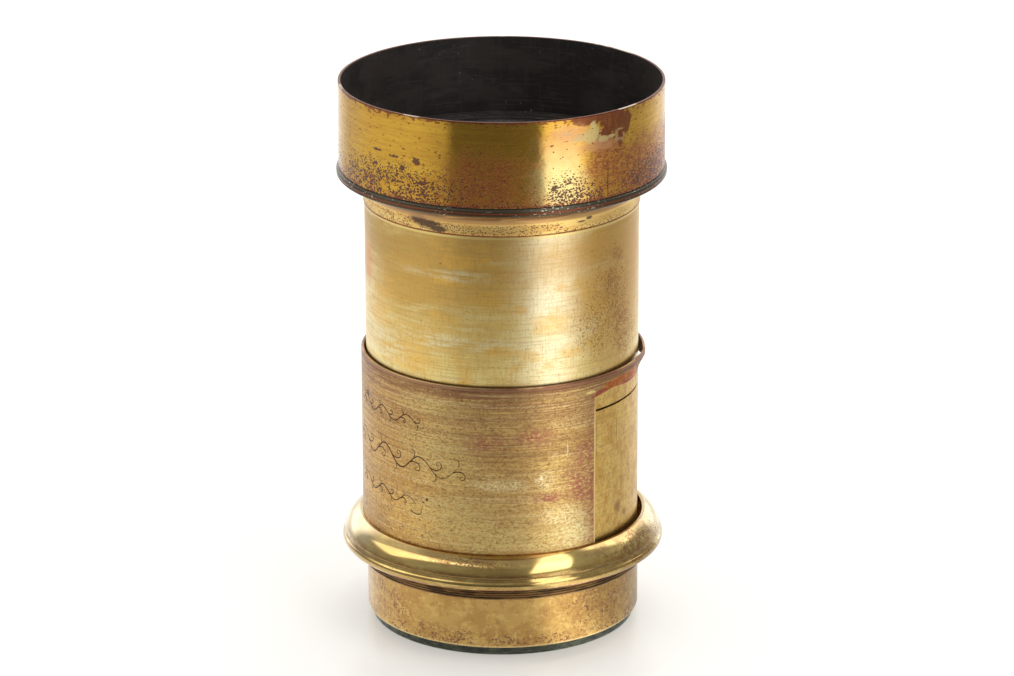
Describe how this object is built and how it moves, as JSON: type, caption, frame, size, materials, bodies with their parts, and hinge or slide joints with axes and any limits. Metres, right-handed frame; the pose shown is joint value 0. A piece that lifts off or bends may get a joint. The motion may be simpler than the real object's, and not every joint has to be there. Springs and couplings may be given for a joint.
{
  "type": "brass portrait lens",
  "caption": "Brass portrait lens: glass in screwed cells on a draw tube that focuses by rack and pinion in an outer sleeve with a stop window, mounting collar and hood.",
  "frame": {"origin": "on the optical axis in the plane of the collar's seat, which rests on a camera's flange, with the sleeve fully back", "axes": "+Z along the optical axis towards the subject, -Y the front of the barrel, +X the stop window, +Y the focusing pinion"},
  "size_m": [0.096, 0.1047, 0.1637],
  "materials": {
    "engraved_brass": "worn lacquered brass, brown patina with circumferential scratches",
    "turned_brass": "turned and lacquered brass, bright with fine tarnish",
    "tube_brass": "satin drawn brass, kept bright by sliding",
    "hood_brass": "polished brass with red-brown and purple patina",
    "cell_brass": "turned brass with mottled patina",
    "drive_brass": "turned brass, worn lacquer",
    "rack_brass": "cut brass, slightly oily",
    "screw_brass": "turned brass screws",
    "blacked_brass": "brass blackened matt against stray light",
    "ring_brass": "dark brass with green tarnish",
    "screw_steel": "blued steel",
    "pinion_steel": "cut steel",
    "crown_glass": "polished crown glass",
    "flint_glass": "polished flint glass, faintly warm"
  },
  "bodies": {
    "barrel": {"draw_tube": "tube_brass", "focus_rack": "rack_brass", "rack_screws": "screw_brass", "stop_guide_front": "blacked_brass", "stop_guide_rear": "blacked_brass"},
    "outer_body": {"outer_sleeve": "engraved_brass", "mount_collar": "turned_brass", "pinion_block": "drive_brass", "pinion_cap": "drive_brass", "cap_screws": "screw_steel"},
    "pinion_group": {"pinion": "pinion_steel", "thrust_washer": "rack_brass", "focus_knob": "drive_brass", "knob_screw": "screw_steel"},
    "front_glass": {"front_crown": "crown_glass", "front_flint": "flint_glass"},
    "front_mount": {"front_cell": "cell_brass", "front_retaining_ring": "blacked_brass", "lens_hood": "hood_brass"},
    "rear_glass": {"rear_flint": "flint_glass", "rear_spacer": "blacked_brass", "rear_crown": "crown_glass"},
    "rear_mount": {"rear_cell": "cell_brass", "rear_retaining_ring": "ring_brass"}
  },
  "joints": [
    {"name": "focus_slide", "type": "slide", "parent": "barrel", "child": "outer_body", "axis": [0, 0, 1], "range_m": [0, 0.034]},
    {"name": "pinion_spin", "type": "hinge", "parent": "outer_body", "child": "pinion_group", "pos_m": [0, 0.0463, 0.0518], "axis": [1, 0, 0], "range_deg": [0, 400]},
    {"name": "front_cell_travel", "type": "slide", "parent": "barrel", "child": "front_glass", "axis": [0, 0, 1], "range_m": [0, 0.0051]},
    {"name": "front_cell_turn", "type": "hinge", "parent": "front_glass", "child": "front_mount", "pos_m": [0, 0, 0], "axis": [0, 0, 1], "range_deg": [0, 1800]},
    {"name": "rear_cell_travel", "type": "slide", "parent": "barrel", "child": "rear_glass", "axis": [0, 0, -1], "range_m": [0, 0.0051]},
    {"name": "rear_cell_turn", "type": "hinge", "parent": "rear_glass", "child": "rear_mount", "pos_m": [0, 0, 0], "axis": [0, 0, -1], "range_deg": [0, 1800]}
  ],
  "couplings": [
    {"joint": "pinion_spin", "follows": "focus_slide", "rad_per_m": 204.08},
    {"joint": "front_cell_travel", "follows": "front_cell_turn", "m_per_rad": 0.00015915},
    {"joint": "rear_cell_travel", "follows": "rear_cell_turn", "m_per_rad": 0.00015915}
  ]
}
